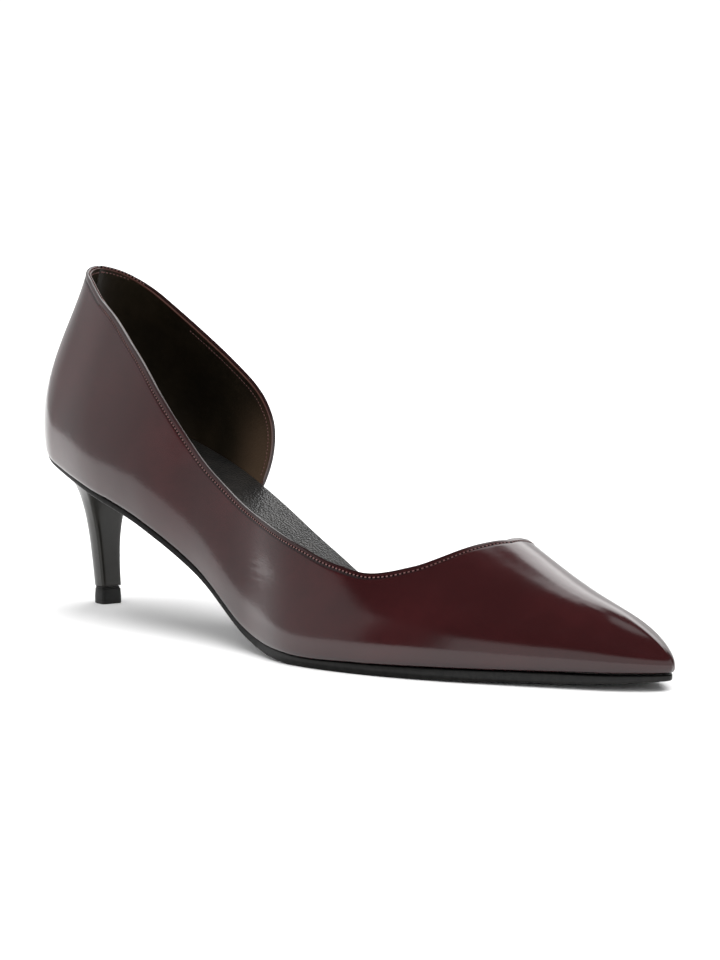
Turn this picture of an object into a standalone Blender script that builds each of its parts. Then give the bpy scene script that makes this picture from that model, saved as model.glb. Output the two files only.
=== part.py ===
"""A pointed half-cut pump for a right foot, on a slim 54 mm heel.

The shoe is built over its last: every piece reads the last's sections below. The toe points along +X,
the outer side of the foot is -Y, and the floor is z = 0. Sizes are in metres.
"""

from collections import namedtuple
from math import cos, pi, sin

import bmesh
import bpy
import numpy as np

COLLECTION = "dorsay_pump"

# Driving dimensions of the last
LENGTH = 0.255
BALL_WIDTH = 0.070
SEAT_RISE = 0.054
LAST_HEIGHT = 0.114
HEEL_ROUND = 0.027
TOE_ROUND = 0.014

# Way walked along the bottom edge round a quarter of the heel and of the toe
HEEL_WALK = 0.042
TOE_WALK = 0.017
WALK_END = HEEL_WALK + (LENGTH - HEEL_ROUND - TOE_ROUND) + TOE_WALK

# How full a section's side is: shares of its height, way in and swell for the curve's two handles
LOW_HANDLE = 0.38
VAMP_HANDLE = 0.58
QUARTER_HANDLE = 0.33
QUARTER_SWELL = 0.35
# The quarter's fullness gives way to the vamp's between these places along the shoe
QUARTER_FULL = 0.090
VAMP_FULL = 0.150

# Small steps by which slopes are taken
FEATHER_REACH = 0.0004
CREST_REACH = 0.0005

# Thicknesses and clearances
WALL = 0.0016
GAP = 0.0003
INSOLE_THICK = 0.0022
INSOLE_INSET = WALL + 3 * GAP
SOLE_INSET = 0.0005
SOLE_EDGE_BEVEL = 0.0006

# Heel and top piece
TOP_PIECE_HIGH = 0.0052
HEEL_CENTRE_Y = 0.0
HEEL_ROUNDNESS = 2.3

# Mesh fineness
UPPER_ROWS = 11
STEP_ALONG = 0.0068
STEP_ROUND = 0.0053
STEP_VAMP = 0.0028
ARC_STEPS = 12
SOLE_CROSS = 6
RIM_START = 70
QUARTER_COLUMNS = 6
TOE_STEPS = 4
MERGE = 0.00001
SHARP_TURN = 0.7

# One row per section of the last, from the back of the heel to the tip of the toe. Along is in percent
# of the length, widths in percent of the ball width, feather (the bottom edge) and sole in percent of
# the seat's rise, crest in percent of the last's height.
Section = namedtuple(
    "Section",
    "along outer inner swing feather sole crest crest_lean crest_y crest_half outer_swell inner_swell",
)
SECTIONS = (
    Section(0, 30.0, 38.0, 0.0, 100.5, 3.2, 100.0, 20.0, 0.0, 7.4, 6.7, 10.8),
    Section(10, 39.5, 41.0, 0.0, 87.0, 3.2, 95.5, -3.0, 0.0, 15.0, 5.0, 8.7),
    Section(20, 46.0, 38.0, -1.2, 75.6, 3.4, 90.5, -8.5, -0.4, 21.5, 6.3, 14.0),
    Section(30, 46.4, 31.0, -1.4, 61.9, 3.8, 87.5, -2.0, 0.8, 23.4, 8.9, 24.0),
    Section(40, 44.7, 29.2, -0.5, 39.4, 4.2, 80.5, -1.0, 2.4, 15.7, 11.8, 22.0),
    Section(50, 48.7, 35.5, 0.0, 13.0, 5.0, 67.0, 0.0, 4.3, 5.5, 13.9, 17.4),
    Section(60, 55.5, 45.8, -0.5, 6.0, 5.6, 52.0, 0.0, 5.3, 0.0, 14.4, 13.0),
    Section(70, 51.6, 50.0, 0.0, 6.0, 5.6, 37.5, 0.0, 6.3, 0.0, 11.6, 8.5),
    Section(80, 40.2, 40.6, 1.4, 7.0, 5.6, 28.6, -4.0, 5.9, 0.0, 8.9, 5.5),
    Section(88, 28.0, 30.2, 4.9, 7.8, 5.2, 22.9, -10.6, 5.2, 0.0, 6.9, 5.6),
    Section(95, 17.0, 18.5, 8.4, 8.2, 4.2, 18.2, -16.0, 6.0, 0.0, 5.4, 5.0),
    Section(100, 10.6, 8.3, 12.0, 8.8, 3.0, 15.4, -22.0, 8.0, 0.0, 4.1, 2.0),
)

# Edges of the upper: along in percent of the length, rise in percent of the way from the feather to
# the crest. The topline runs round the collar from the heel to the throat, or to the quarter's corner,
# and the quarter's front and the vamp's back run up from the feather at the inner waist.
Edge = namedtuple("Edge", "along rise")
OUTER_TOPLINE = (
    Edge(0, 82.5), Edge(5, 85), Edge(10, 86.5), Edge(12.5, 85), Edge(15, 83), Edge(20, 78.5), Edge(25, 67.7),
    Edge(30, 56), Edge(35, 46.6), Edge(40, 40), Edge(45, 38.3), Edge(50, 38.6), Edge(55, 39.8),
    Edge(60, 41.4), Edge(65, 42.8), Edge(70, 48), Edge(72, 53.9), Edge(74, 62.8), Edge(75, 70.5),
    Edge(76, 82), Edge(76.6, 91), Edge(77, 100),
)
INNER_TOPLINE = (
    Edge(0, 82.5), Edge(5, 82), Edge(10, 78), Edge(15, 68.3), Edge(18, 60), Edge(20, 53.8), Edge(22, 46.2),
)
QUARTER_FRONT = (
    Edge(24.9, 0), Edge(24.8, 10), Edge(24.5, 24), Edge(24.1, 31), Edge(23.2, 39.5), Edge(22, 46.2),
)
VAMP_BACK = (
    Edge(59, 0), Edge(61, 10), Edge(64, 24), Edge(67, 38), Edge(70, 52), Edge(73, 67), Edge(75, 78),
    Edge(76, 87), Edge(77, 100),
)
QUARTER_TURN = 14
VAMP_TURN = 90

# The heel by share of its height: where its back and front lie and half its width
HeelRing = namedtuple("HeelRing", "share back front half")
HEEL_RINGS = (
    HeelRing(0.00, 0.0110, 0.0184, 0.0036),
    HeelRing(0.20, 0.0097, 0.0176, 0.0039),
    HeelRing(0.38, 0.0086, 0.0172, 0.0046),
    HeelRing(0.54, 0.0074, 0.0174, 0.0060),
    HeelRing(0.66, 0.0063, 0.0186, 0.0080),
    HeelRing(0.76, 0.0052, 0.0212, 0.0110),
    HeelRing(0.85, 0.0042, 0.0260, 0.0152),
    HeelRing(0.93, 0.0032, 0.0320, 0.0203),
    HeelRing(1.00, 0.0022, 0.0380, 0.0245),
)

# Finish of each piece: colour, roughness
Finish = namedtuple("Finish", "colour roughness")
BURGUNDY_LEATHER = Finish((0.060, 0.010, 0.014), 0.32)
BLACK_LEATHER = Finish((0.012, 0.011, 0.011), 0.42)
SOLE_LEATHER = Finish((0.010, 0.010, 0.010), 0.50)
HEEL_LACQUER = Finish((0.016, 0.016, 0.015), 0.28)
TOP_RUBBER = Finish((0.008, 0.008, 0.008), 0.70)


def smooth_curve(places, values):
    """A smooth curve through a table's values, as a function of the place."""
    places = np.array(places, float)
    values = np.array(values, float)
    steps = np.diff(places)
    slopes = np.diff(values) / steps
    tangents = np.empty(len(places))
    tangents[1:-1] = (slopes[:-1] * steps[1:] + slopes[1:] * steps[:-1]) / (steps[1:] + steps[:-1])
    tangents[0] = 1.5 * slopes[0] - 0.5 * tangents[1]
    tangents[-1] = 1.5 * slopes[-1] - 0.5 * tangents[-2]

    def value(place):
        index = int(np.clip(np.searchsorted(places, place) - 1, 0, len(places) - 2))
        step = steps[index]
        share = (place - places[index]) / step
        rest = 1 - share
        return (
            rest * rest * (1 + 2 * share) * values[index]
            + rest * rest * share * step * tangents[index]
            + share * share * (3 - 2 * share) * values[index + 1]
            - share * share * rest * step * tangents[index + 1]
        )

    return value


def column(name, unit):
    """The smooth curve along the shoe of one column of the sections."""
    return smooth_curve(
        [row.along / 100 * LENGTH for row in SECTIONS],
        [getattr(row, name) / 100 * unit for row in SECTIONS],
    )


OUTER = column("outer", BALL_WIDTH)
INNER = column("inner", BALL_WIDTH)
SWING = column("swing", BALL_WIDTH)
FEATHER = column("feather", SEAT_RISE)
SOLE_THICK = column("sole", SEAT_RISE)
CREST = column("crest", LAST_HEIGHT)
CREST_LEAN = column("crest_lean", BALL_WIDTH)
CREST_Y = column("crest_y", BALL_WIDTH)
CREST_HALF = column("crest_half", BALL_WIDTH)
OUTER_SWELL = column("outer_swell", BALL_WIDTH)
INNER_SWELL = column("inner_swell", BALL_WIDTH)


def edge_curve(rows):
    """The rise of a top edge at a place along the shoe."""
    return smooth_curve([row.along / 100 * LENGTH for row in rows], [row.rise / 100 for row in rows])


def walk_at(along):
    """The way walked along the bottom edge to a place on its straight stretch."""
    return HEEL_WALK + along - HEEL_ROUND


def station(walk):
    """Place along the shoe, share of the half width, and share of the crest's half width."""
    if walk < HEEL_WALK:
        turn = pi / 2 * walk / HEEL_WALK
        return HEEL_ROUND * (1 - cos(turn)), sin(turn), sin(turn)
    if walk > WALK_END - TOE_WALK:
        turn = pi / 2 * (WALK_END - walk) / TOE_WALK
        return LENGTH - TOE_ROUND * (1 - cos(turn)), sin(turn), 1.0
    return HEEL_ROUND + walk - HEEL_WALK, 1.0, 1.0


def feather_point(side, walk):
    """A point of the last's bottom edge; side is -1 for the outer and 1 for the inner side."""
    along, share, _ = station(walk)
    half = OUTER(along) if side < 0 else INNER(along)
    return np.array([along, SWING(along) + side * half * share, FEATHER(along)])


def crest_point(side, walk):
    """The end of a section's side on the last's crest."""
    along, _, share = station(walk)
    return np.array([along + CREST_LEAN(along), CREST_Y(along) + side * CREST_HALF(along) * share, CREST(along)])


def outward(side, walk):
    """Level unit vector out of the last's bottom edge."""
    if walk <= 0:
        return np.array([-1.0, 0.0, 0.0])
    if walk >= WALK_END:
        return np.array([1.0, 0.0, 0.0])
    ahead = feather_point(side, min(walk + FEATHER_REACH, WALK_END))
    run = ahead - feather_point(side, max(walk - FEATHER_REACH, 0))
    out = np.array([-side * run[1], side * run[0], 0.0])
    return out / np.linalg.norm(out)


def last_point(side, walk, rise):
    """A point of the last's surface, from the feather at rise 0 to the crest at rise 1."""
    along, _, _ = station(walk)
    foot = feather_point(side, walk)
    top = crest_point(side, walk)
    out = outward(side, walk)
    swell = OUTER_SWELL(along) if side < 0 else INNER_SWELL(along)
    high = top[2] - foot[2]
    low_handle = foot + out * swell + np.array([0, 0, LOW_HANDLE * high])
    ahead = crest_point(side, min(walk + CREST_REACH, WALK_END))
    behind = crest_point(side, max(walk - CREST_REACH, 0))
    crest_slope = (ahead[2] - behind[2]) / (ahead[0] - behind[0])
    back = foot - top
    vamp_handle = VAMP_HANDLE * np.array([back[0], back[1], back[0] * crest_slope])
    quarter_handle = out * QUARTER_SWELL * swell - np.array([0, 0, QUARTER_HANDLE * high])
    quarter = np.clip((VAMP_FULL - along) / (VAMP_FULL - QUARTER_FULL), 0, 1)
    quarter = quarter * quarter * (3 - 2 * quarter)
    high_handle = top + vamp_handle * (1 - quarter) + quarter_handle * quarter
    rest = 1 - rise
    return (
        rest**3 * foot
        + 3 * rest * rest * rise * low_handle
        + 3 * rest * rise * rise * high_handle
        + rise**3 * top
    )


def underside(along):
    """Height of the outsole's bottom face, which is flat on the floor under the forefoot."""
    return max(FEATHER(along) - GAP - SOLE_THICK(along), 0.0)


def even_steps(start, end, step):
    """Evenly spaced values from start up to but not at end."""
    count = max(1, round((end - start) / step))
    return [start + (end - start) * index / count for index in range(count)]


def walk_stops(*along_stops):
    """Walk values through the heel round, the given places along the shoe and the toe round."""
    stops = even_steps(0, HEEL_WALK, STEP_ROUND)
    places = [HEEL_ROUND, *sorted(along_stops), LENGTH - TOE_ROUND]
    for start, end in zip(places, places[1:]):
        stops += even_steps(walk_at(start), walk_at(end), STEP_ALONG)
    return stops + even_steps(WALK_END - TOE_WALK, WALK_END, TOE_WALK / TOE_STEPS) + [WALK_END]


def make_finish(name, finish):
    material = bpy.data.materials.new(name)
    material.use_nodes = True
    shader = material.node_tree.nodes["Principled BSDF"]
    shader.inputs["Base Color"].default_value = (*finish.colour, 1)
    shader.inputs["Roughness"].default_value = finish.roughness
    shader.inputs["Metallic"].default_value = 0
    material.diffuse_color = (*finish.colour, 1)
    return material


def add_piece(name, mesh_build, finish):
    """A named object of the collection from a bmesh, smooth but for its real edges."""
    mesh = bpy.data.meshes.new(name)
    mesh_build.to_mesh(mesh)
    mesh_build.free()
    mesh.shade_smooth()
    mesh.set_sharp_from_angle(angle=SHARP_TURN)
    mesh.materials.append(make_finish(name + "_finish", finish))
    piece = bpy.data.objects.new(name, mesh)
    bpy.data.collections[COLLECTION].objects.link(piece)
    return piece


def skin_strips(build, columns):
    """Quads between neighbouring columns of points, from each column's foot to its top."""
    rows = [[build.verts.new(point) for point in line] for line in columns]
    for left, right in zip(rows, rows[1:]):
        for low in range(len(left) - 1):
            build.faces.new((left[low], right[low], right[low + 1], left[low + 1]))
    bmesh.ops.remove_doubles(build, verts=build.verts, dist=MERGE)
    return rows


def edge_point(rows, share):
    """Place along the shoe and rise at a share of the way along an edge's rows."""
    spots = range(len(rows))
    along = smooth_curve(spots, [row.along / 100 * LENGTH for row in rows])
    rise = smooth_curve(spots, [row.rise / 100 for row in rows])
    spot = share * (len(rows) - 1)
    return np.array([along(spot), rise(spot)])


def straight_column(walk, top):
    """A column of places along the shoe and rises, straight up from the feather."""
    return [np.array([walk, top * row / UPPER_ROWS]) for row in range(UPPER_ROWS + 1)]


def leaning_column(share, straight, edge_rows, top):
    """A column between a straight one, at share 0, and an edge, at share 1, with its top end given."""
    column_points = []
    for row in range(UPPER_ROWS + 1):
        up = row / UPPER_ROWS
        along, rise = edge_point(edge_rows, up)
        column_points.append((1 - share) * straight[row] + share * np.array([walk_at(along), rise]))
    lift = top - column_points[-1]
    return [point + lift * row / UPPER_ROWS for row, point in enumerate(column_points)]


def upper_columns():
    """Columns of the upper's outer skin: inner quarter, heel back, outer side, toe, inner vamp."""
    throat = OUTER_TOPLINE[-1].along / 100 * LENGTH
    outer_top = edge_curve(OUTER_TOPLINE)
    inner_top = edge_curve(INNER_TOPLINE)
    rim = [row.along / 100 * LENGTH for row in OUTER_TOPLINE if row.along >= RIM_START]
    vamp_turn = VAMP_TURN / 100 * LENGTH
    rim += even_steps(throat, vamp_turn, STEP_VAMP)[1:] + [vamp_turn]
    stops = walk_stops(*rim)

    quarter_turn = walk_at(QUARTER_TURN / 100 * LENGTH)
    corner = walk_at(INNER_TOPLINE[-1].along / 100 * LENGTH)
    inner = [straight_column(walk, inner_top(station(walk)[0])) for walk in stops if 0 < walk < quarter_turn]
    straight = straight_column(quarter_turn, inner_top(station(quarter_turn)[0]))
    for index in range(QUARTER_COLUMNS + 1):
        share = index / QUARTER_COLUMNS
        walk = quarter_turn + (corner - quarter_turn) * share
        top = np.array([walk, inner_top(station(walk)[0])])
        inner.append(leaning_column(share, straight, QUARTER_FRONT, top))

    outer = []
    for walk in stops:
        along = station(walk)[0]
        outer.append(straight_column(walk, 1.0 if along >= throat else outer_top(along)))

    first = walk_at(throat)
    last = walk_at(vamp_turn)
    straight = straight_column(last, 1.0)
    vamp = []
    for walk in stops:
        if first - MERGE < walk < last + MERGE:
            share = (last - walk) / (last - first)
            vamp.append(leaning_column(share, straight, VAMP_BACK, np.array([walk, 1.0])))
        elif last < walk < WALK_END:
            vamp.append(straight_column(walk, 1.0))

    route = [(1, line) for line in reversed(inner)]
    route += [(-1, line) for line in outer]
    route += [(1, line) for line in reversed(vamp)]
    return [[last_point(side, walk, rise) for walk, rise in line] for side, line in route]


def make_upper():
    """The upper: one leather wall over the last, open at the collar, the inner waist and underneath."""
    build = bmesh.new()
    skin_strips(build, upper_columns())
    upper = add_piece("upper", build, BURGUNDY_LEATHER)
    wall = upper.modifiers.new("wall", "SOLIDIFY")
    wall.thickness = WALL
    wall.offset = -1
    wall.use_rim = True
    return upper


def cross_rows(inset, height):
    """Rows of points across the foot at each stop, between the bottom edge drawn in by an inset."""
    rows = []
    for walk in walk_stops():
        ends = []
        for side in (-1, 1):
            edge = feather_point(side, walk) - outward(side, walk) * inset
            ends.append(edge)
        line = []
        for index in range(SOLE_CROSS + 1):
            share = index / SOLE_CROSS
            point = ends[0] * (1 - share) + ends[1] * share
            line.append(np.array([point[0], point[1], height(point[0], abs(2 * share - 1))]))
        rows.append(line)
    return rows


def make_plate(name, top_rows, bottom_rows, finish):
    """A closed plate between rows of points on its top and on its bottom."""
    build = bmesh.new()
    levels = []
    for rows, up in ((top_rows, True), (bottom_rows, False)):
        points = [[build.verts.new(point) for point in line] for line in rows]
        levels.append(points)
        for near, far in zip(points, points[1:]):
            for left in range(len(near) - 1):
                corners = [near[left], far[left], far[left + 1], near[left + 1]]
                build.faces.new(corners if up else corners[::-1])
    top, bottom = levels
    last_row = len(top) - 1
    last_place = len(top[0]) - 1
    for row in range(last_row):
        for place, turned in ((0, False), (last_place, True)):
            corners = [top[row][place], bottom[row][place], bottom[row + 1][place], top[row + 1][place]]
            build.faces.new(corners[::-1] if turned else corners)
    for place in range(last_place):
        for row, turned in ((0, True), (last_row, False)):
            corners = [top[row][place], bottom[row][place], bottom[row][place + 1], top[row][place + 1]]
            build.faces.new(corners[::-1] if turned else corners)
    bmesh.ops.remove_doubles(build, verts=build.verts, dist=MERGE)
    bmesh.ops.dissolve_degenerate(build, edges=build.edges, dist=MERGE)
    bmesh.ops.triangulate(build, faces=build.faces)
    return add_piece(name, build, finish)


def make_outsole():
    """The outsole: a leather sheet under the whole last, level on the floor under the forefoot."""

    def top_height(along, _):
        return FEATHER(along) - GAP

    def bottom_height(along, _):
        return underside(along)

    top = cross_rows(SOLE_INSET, top_height)
    bottom = cross_rows(SOLE_INSET + SOLE_EDGE_BEVEL, bottom_height)
    return make_plate("outsole", top, bottom, SOLE_LEATHER)


def make_insole():
    """The insole: the covered board inside the upper, whose edge shows at the inner waist."""

    def top_height(along, _):
        return FEATHER(along) + INSOLE_THICK

    def bottom_height(along, _):
        return FEATHER(along)

    top = cross_rows(INSOLE_INSET, top_height)
    bottom = cross_rows(INSOLE_INSET, bottom_height)
    return make_plate("insole", top, bottom, BLACK_LEATHER)


def heel_outline(back, front, half):
    """A D-shaped outline: a round back from the outer front corner to the inner one, flat in front."""
    power = 2 / HEEL_ROUNDNESS
    points = []
    for index in range(2 * ARC_STEPS + 1):
        turn = -pi / 2 + pi * index / (2 * ARC_STEPS)
        along = front - (front - back) * abs(cos(turn)) ** power
        across = half * abs(sin(turn)) ** power * (1 if turn > 0 else -1)
        points.append((along, HEEL_CENTRE_Y + across))
    return points


def close_outline_faces(build, ring, upward):
    """Closes a symmetric outline with strips from side to side."""
    count = len(ring)
    for index in range(count // 2):
        corners = [ring[index], ring[index + 1], ring[count - 2 - index], ring[count - 1 - index]]
        corners = list(dict.fromkeys(corners))
        build.faces.new(corners if upward else corners[::-1])


def make_heel():
    """The heel: D-shaped rings from its foot up to the cup that carries the seat."""
    build = bmesh.new()
    foot_height = TOP_PIECE_HIGH + GAP
    rings = []
    for row in HEEL_RINGS:
        ring = []
        for along, across in heel_outline(row.back, row.front, row.half):
            top = underside(along) - GAP
            ring.append(build.verts.new((along, across, foot_height + (top - foot_height) * row.share)))
        rings.append(ring)
    for low, high in zip(rings, rings[1:]):
        count = len(low)
        for index in range(count):
            after = (index + 1) % count
            build.faces.new((low[after], low[index], high[index], high[after]))
    close_outline_faces(build, rings[0], False)
    close_outline_faces(build, rings[-1], True)
    bmesh.ops.triangulate(build, faces=build.faces)
    bmesh.ops.recalc_face_normals(build, faces=build.faces)
    return add_piece("heel", build, HEEL_LACQUER)


def make_top_piece():
    """The top piece: the rubber tip that the heel stands on."""
    build = bmesh.new()
    foot = HEEL_RINGS[0]
    levels = []
    for height in (0.0, TOP_PIECE_HIGH):
        outline = heel_outline(foot.back, foot.front, foot.half)
        levels.append([build.verts.new((along, across, height)) for along, across in outline])
    low, high = levels
    for index in range(len(low)):
        after = (index + 1) % len(low)
        build.faces.new((low[after], low[index], high[index], high[after]))
    close_outline_faces(build, low, False)
    close_outline_faces(build, high, True)
    bmesh.ops.triangulate(build, faces=build.faces)
    bmesh.ops.recalc_face_normals(build, faces=build.faces)
    return add_piece("heel_tip", build, TOP_RUBBER)


def centre_on_floor(pieces):
    """Moves every mesh so that the shoe's box stands on the origin by the middle of its foot."""
    points = np.array([vertex.co[:] for piece in pieces for vertex in piece.data.vertices])
    middle = (points.min(axis=0) + points.max(axis=0)) / 2
    for piece in pieces:
        for vertex in piece.data.vertices:
            vertex.co.x -= middle[0]
            vertex.co.y -= middle[1]
    print("middle of the box in the last's frame", middle)


def clear_scene():
    for thing in list(bpy.data.objects):
        bpy.data.objects.remove(thing, do_unlink=True)
    holder = bpy.data.collections.new(COLLECTION)
    bpy.context.scene.collection.children.link(holder)


clear_scene()
centre_on_floor([make_upper(), make_outsole(), make_insole(), make_heel(), make_top_piece()])
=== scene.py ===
"""The looks of the half-cut pump: burgundy leather upper, black insole and sole, lacquered heel.

The shoe is drawn over its last, whose sections are below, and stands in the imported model's frame: the toe
points along +X, the outer side of the foot is -Y, and the floor is z = 0. Sizes are in metres.
"""

from collections import namedtuple
from math import cos, pi, radians, sin

import bmesh
import bpy
import numpy as np
from mathutils import Matrix, Vector, bvhtree, kdtree


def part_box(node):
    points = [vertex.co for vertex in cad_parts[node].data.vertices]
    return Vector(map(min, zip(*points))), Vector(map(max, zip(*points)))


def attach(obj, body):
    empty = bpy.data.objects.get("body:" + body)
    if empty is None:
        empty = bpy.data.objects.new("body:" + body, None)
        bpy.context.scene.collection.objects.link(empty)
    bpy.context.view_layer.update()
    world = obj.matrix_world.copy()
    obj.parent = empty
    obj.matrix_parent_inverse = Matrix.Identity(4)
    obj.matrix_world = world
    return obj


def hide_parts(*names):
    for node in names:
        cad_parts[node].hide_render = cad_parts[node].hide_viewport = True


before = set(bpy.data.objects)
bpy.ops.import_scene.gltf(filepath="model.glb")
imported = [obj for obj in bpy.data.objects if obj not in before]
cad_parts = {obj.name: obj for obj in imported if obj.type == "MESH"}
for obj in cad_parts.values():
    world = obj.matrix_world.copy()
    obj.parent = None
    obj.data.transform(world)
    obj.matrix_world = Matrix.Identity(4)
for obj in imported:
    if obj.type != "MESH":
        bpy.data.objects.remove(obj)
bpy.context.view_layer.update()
bpy.ops.object.select_all(action="DESELECT")

# The last
LENGTH = 0.255
BALL_WIDTH = 0.070
SEAT_RISE = 0.054
LAST_HEIGHT = 0.114
HEEL_ROUND = 0.027
TOE_ROUND = 0.014
HEEL_WALK = 0.042
TOE_WALK = 0.017
WALK_END = HEEL_WALK + (LENGTH - HEEL_ROUND - TOE_ROUND) + TOE_WALK

# Thicknesses and clearances
GAP = 0.0003
LEATHER = 0.00090
LINING = 0.00055
LAYER_GAP = 0.00005
LINING_DROP = 0.00030
LINING_DROP_REACH = 0.003
LINING_DEEP = 0.0024
INSOLE_THICK = 0.0022
INSOLE_INSET = 0.0011
SOLE_INSET = 0.0005
MERGE = 0.00001

# Topline stitching
STITCH_PITCH = 0.00120
THREAD = (0.00066, 0.00040, 0.00030)
# Size of the near-black blobs set in the needle holes as painted shade
NEEDLE_HOLE_SHADE = (0.00060, 0.00064, 0.00012)
THREAD_LIFT = 0.00003
THREAD_BLUNTNESS = 2.6
STITCH_IN = 0.00165
# Spots of the free edge on either side of a stitch that give its direction
RUN_SPOTS = 6
# The leather swells between the edge and the stitches, and lies lower along them
PILLOW_RISE = 0.00004
VALLEY_DEEP = 0.00008
VALLEY_REACH = 0.00026

# The back seam: how far it reaches in from the back, its half width, depth and softness
SEAM_BACK = 0.02
SEAM_HALF = 0.002
SEAM_DEEP = 0.00015
SEAM_REACH = 0.00030

# Heel and top piece
TOP_PIECE_HIGH = 0.0052
HEEL_ROUNDNESS = 2.3
CORNER_ROUND = 0.16
CORNER_LEAN = 0.75
FRONT_POWER = 2 / 5

# One row per section of the last: along in percent of the length, widths in percent of the ball width,
# feather (the bottom edge) and sole in percent of the seat's rise, crest in percent of the last's height.
Section = namedtuple(
    "Section",
    "along outer inner swing feather sole crest crest_lean crest_y crest_half outer_swell inner_swell",
)
SECTIONS = (
    Section(0, 30.0, 38.0, 0.0, 100.5, 3.2, 100.0, 20.0, 0.0, 7.4, 6.7, 10.8),
    Section(10, 39.5, 41.0, 0.0, 87.0, 3.2, 95.5, -3.0, 0.0, 15.0, 5.0, 8.7),
    Section(20, 46.0, 38.0, -1.2, 75.6, 3.4, 90.5, -8.5, -0.4, 21.5, 6.3, 14.0),
    Section(30, 46.4, 31.0, -1.4, 61.9, 3.8, 87.5, -2.0, 0.8, 23.4, 8.9, 24.0),
    Section(40, 44.7, 29.2, -0.5, 39.4, 4.2, 80.5, -1.0, 2.4, 15.7, 11.8, 22.0),
    Section(50, 48.7, 35.5, 0.0, 13.0, 5.0, 67.0, 0.0, 4.3, 5.5, 13.9, 17.4),
    Section(60, 55.5, 45.8, -0.5, 6.0, 5.6, 52.0, 0.0, 5.3, 0.0, 14.4, 13.0),
    Section(70, 51.6, 50.0, 0.0, 6.0, 5.6, 37.5, 0.0, 6.3, 0.0, 11.6, 8.5),
    Section(80, 40.2, 40.6, 1.4, 7.0, 5.6, 28.6, -4.0, 5.9, 0.0, 8.9, 5.5),
    Section(88, 28.0, 30.2, 4.9, 7.8, 5.2, 22.9, -10.6, 5.2, 0.0, 6.9, 5.6),
    Section(95, 17.0, 18.5, 8.4, 8.2, 4.2, 18.2, -16.0, 6.0, 0.0, 5.4, 5.0),
    Section(100, 10.6, 8.3, 12.0, 8.8, 3.0, 15.4, -22.0, 8.0, 0.0, 4.1, 2.0),
)

# How full a section's side is: shares of its height, way in and swell for the curve's two handles
LOW_HANDLE = 0.38
VAMP_HANDLE = 0.58
QUARTER_HANDLE = 0.35
QUARTER_HANDLE_DOWN = 0.33
# Where the quarter's fullness has gone over into the vamp's, and over what way
QUARTER_END = 0.150
QUARTER_FADE = 0.060

# The upper's free edges: along in percent of the length, rise in percent from the feather to the crest
Edge = namedtuple("Edge", "along rise")
OUTER_TOPLINE = (
    Edge(0, 82.5), Edge(5, 85), Edge(10, 86.5), Edge(12.5, 85), Edge(15, 83), Edge(20, 78.5), Edge(25, 67.7),
    Edge(30, 56), Edge(35, 46.6), Edge(40, 40), Edge(45, 38.3), Edge(50, 38.6), Edge(55, 39.8),
    Edge(60, 41.4), Edge(65, 42.8), Edge(70, 48), Edge(72, 53.9), Edge(74, 62.8), Edge(75, 70.5),
    Edge(76, 82), Edge(76.6, 91), Edge(77, 100),
)
INNER_TOPLINE = (
    Edge(0, 82.5), Edge(5, 82), Edge(10, 78), Edge(15, 68.3), Edge(18, 60), Edge(20, 53.8), Edge(22, 46.2),
)
QUARTER_FRONT = (
    Edge(24.9, 0), Edge(24.8, 10), Edge(24.5, 24), Edge(24.1, 31), Edge(23.2, 39.5), Edge(22, 46.2),
)
VAMP_BACK = (
    Edge(59, 0), Edge(61, 10), Edge(64, 24), Edge(67, 38), Edge(70, 52), Edge(73, 67), Edge(75, 78),
    Edge(76, 87), Edge(77, 100),
)
QUARTER_TURN = 14
VAMP_TURN = 90
VAMP_FOOT_TURN = 79

# The heel by share of its height: where its back and front lie and half its width
HeelRing = namedtuple("HeelRing", "share back front half")
HEEL_RINGS = (
    HeelRing(0.00, 0.0110, 0.0184, 0.0036),
    HeelRing(0.20, 0.0097, 0.0176, 0.0039),
    HeelRing(0.38, 0.0086, 0.0172, 0.0046),
    HeelRing(0.54, 0.0074, 0.0174, 0.0060),
    HeelRing(0.66, 0.0063, 0.0186, 0.0080),
    HeelRing(0.76, 0.0052, 0.0212, 0.0110),
    HeelRing(0.85, 0.0042, 0.0260, 0.0152),
    HeelRing(0.93, 0.0032, 0.0320, 0.0203),
    HeelRing(1.00, 0.0022, 0.0380, 0.0245),
)

# Where the last's frame lies in the model's
tip_low, tip_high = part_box("heel_tip")
SHIFT = np.array([tip_low[0] - HEEL_RINGS[0].back, (tip_low[1] + tip_high[1]) / 2, 0.0])

# The camera: the way it looks, how far it stands and what it looks at
CAMERA_AZIMUTH = 50.25
CAMERA_ELEVATION = 5.73
CAMERA_FAR = 1.100
CAMERA_TARGET = (0.13809, -0.00069, 0.04754)
CAMERA_LENS = 145.73


# Curves of the last


def smooth_curve(places, values):
    """A smooth curve through a table's values, as a function of one place or an array of them."""
    places = np.array(places, float)
    values = np.array(values, float)
    steps = np.diff(places)
    slopes = np.diff(values) / steps
    tangents = np.empty(len(places))
    tangents[1:-1] = (slopes[:-1] * steps[1:] + slopes[1:] * steps[:-1]) / (steps[1:] + steps[:-1])
    tangents[0] = 1.5 * slopes[0] - 0.5 * tangents[1]
    tangents[-1] = 1.5 * slopes[-1] - 0.5 * tangents[-2]

    def value(place):
        index = np.clip(np.searchsorted(places, place) - 1, 0, len(places) - 2)
        step = steps[index]
        share = (place - places[index]) / step
        rest = 1 - share
        return (
            rest * rest * (1 + 2 * share) * values[index]
            + rest * rest * share * step * tangents[index]
            + share * share * (3 - 2 * share) * values[index + 1]
            - share * share * rest * step * tangents[index + 1]
        )

    return value


def column(name, unit):
    """The smooth curve along the shoe of one column of the sections."""
    return smooth_curve(
        [row.along / 100 * LENGTH for row in SECTIONS],
        [getattr(row, name) / 100 * unit for row in SECTIONS],
    )


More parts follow.
